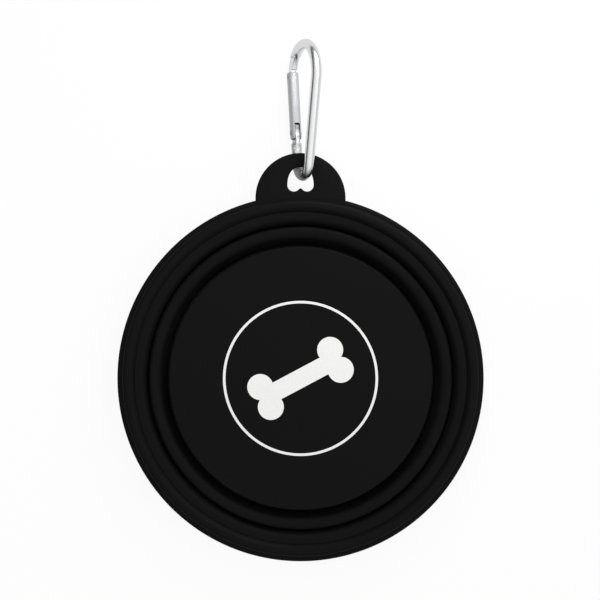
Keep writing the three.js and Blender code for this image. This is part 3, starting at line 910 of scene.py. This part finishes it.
def gate_spring():
    """A ring of wire drawn in short steps from its seat in the heel tongue up into the gate's bore."""
    seat = Matrix.Translation((0, SPRING_SEAT * MM, 0)) @ ALONG_Y
    piece = section_ring("gate_spring_skin", SPRING_SIDES, SPRING_RADIUS, seat)
    rise = (SPRING_REACH - SPRING_SEAT) / SPRING_STEPS
    for step in range(SPRING_STEPS):
        lean = 3 * SPRING_BOW * (step / SPRING_STEPS) ** 2 / SPRING_STEPS
        draw_out((lean * MM, rise * MM, 0))
    close_ends()
    face_outwards()
    finish_piece(piece, steel, ["gate_spring"], place=GATE_PLACE)
    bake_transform(piece)


base_plate()
fold_web("lower_fold_web_skin", "lower_fold_web", BASE_RADIUS, SEAT_HEIGHT, LOWER_TOE)
lower_wall_band()
fold_web("upper_fold_web_skin", "upper_fold_web", CREST_RADIUS, -BOND, UPPER_TOE)
upper_wall_band()
rim_ring()
printed_motif()
carabiner_frame()
carabiner_gate()
gate_rivet()
gate_latch_pin()
gate_spring()


# Studio

def studio_floor():
    """A white paper sweep, mostly glowing where it is seen, so that its shadow stays but is faint."""
    deselect_all()
    bpy.ops.mesh.primitive_plane_add(size=FLOOR_WIDTH, location=(0, 0, (FLOOR - FLOOR_GAP) * MM))
    floor = bpy.context.object
    floor.name = "studio_floor"
    material, tree = new_material("white_paper_sweep")
    rays = add_node(tree, "ShaderNodeLightPath").outputs
    seen = add_node(tree, "ShaderNodeMath", settings={"operation": "MAXIMUM"},
                    links={0: rays["Is Camera Ray"], 1: rays["Is Glossy Ray"]}).outputs[0]
    seen = add_node(tree, "ShaderNodeMath", settings={"operation": "MAXIMUM"},
                    links={0: seen, 1: rays["Is Transmission Ray"]}).outputs[0]
    share = add_node(tree, "ShaderNodeMath", settings={"operation": "MULTIPLY"},
                     values={1: FLOOR_GLOW},
                     links={0: seen}).outputs[0]
    strength = add_node(tree, "ShaderNodeMath", settings={"operation": "MULTIPLY_ADD"},
                        values={1: FLOOR_IN_METAL - 1, 2: 1.0},
                        links={0: rays["Is Glossy Ray"]}).outputs[0]
    paper = add_node(tree, "ShaderNodeBsdfDiffuse", values={"Color": srgb(0xF4F4F4)})
    glow = add_node(tree, "ShaderNodeEmission",
                    values={"Color": srgb(0xFFFFFF)},
                    links={"Strength": strength})
    mixed = add_node(tree, "ShaderNodeMixShader",
                     links={0: share, 1: paper.outputs["BSDF"], 2: glow.outputs["Emission"]})
    add_node(tree, "ShaderNodeOutputMaterial", links={"Surface": mixed.outputs["Shader"]})
    floor.data.materials.append(material)


def studio_world():
    """A bright scrim overhead, leaning to the right, that falls off to a dim room at the left horizon."""
    world = bpy.data.worlds.new("studio")
    world.use_nodes = True
    tree = world.node_tree
    tree.nodes.clear()
    way = add_node(tree, "ShaderNodeTexCoord").outputs["Generated"]
    height = add_node(tree, "ShaderNodeVectorMath", settings={"operation": "DOT_PRODUCT"},
                      values={1: SCRIM_WAY},
                      links={0: way}).outputs["Value"]
    scrim = add_node(tree, "ShaderNodeMapRange",
                     values={"From Min": 0.0, "From Max": SCRIM_FULL, "To Min": ROOM_LEVEL, "To Max": 1.0},
                     links={"Value": height}).outputs["Result"]
    sky = add_node(tree, "ShaderNodeBackground",
                   values={"Color": srgb(0xFFFFFF)},
                   links={"Strength": scrim})
    add_node(tree, "ShaderNodeOutputWorld", links={"Surface": sky.outputs["Background"]})
    bpy.context.scene.world = world


def softbox(name, place, width, power):
    """A square soft light at a point, facing the middle of the picture."""
    deselect_all()
    bpy.ops.object.light_add(type="AREA", location=place)
    lamp = bpy.context.object
    lamp.name = name
    lamp.data.size = width
    lamp.data.energy = power
    aim = Vector((0, VIEW_MIDDLE * MM, 0)) - Vector(place)
    lamp.rotation_euler = aim.to_track_quat("-Z", "Y").to_euler()


def studio_camera():
    """A camera straight above, far off for a flat view. The picture's width is measured at the flange."""
    deselect_all()
    place = Vector((VIEW_SIDE, VIEW_MIDDLE, VIEW_HEIGHT)) * MM
    bpy.ops.object.camera_add(location=place, rotation=(0, 0, 0))
    camera = bpy.context.object
    camera.data.sensor_width = SENSOR_WIDTH
    camera.data.lens = SENSOR_WIDTH * (VIEW_HEIGHT - FLANGE_TOP) / VIEW_WIDTH
    camera.data.clip_start = NEAREST_SEEN
    bpy.context.scene.camera = camera


studio_floor()
studio_world()
for box in SOFTBOXES:
    softbox(*box)
studio_camera()
bpy.context.scene.view_settings.view_transform = "Standard"
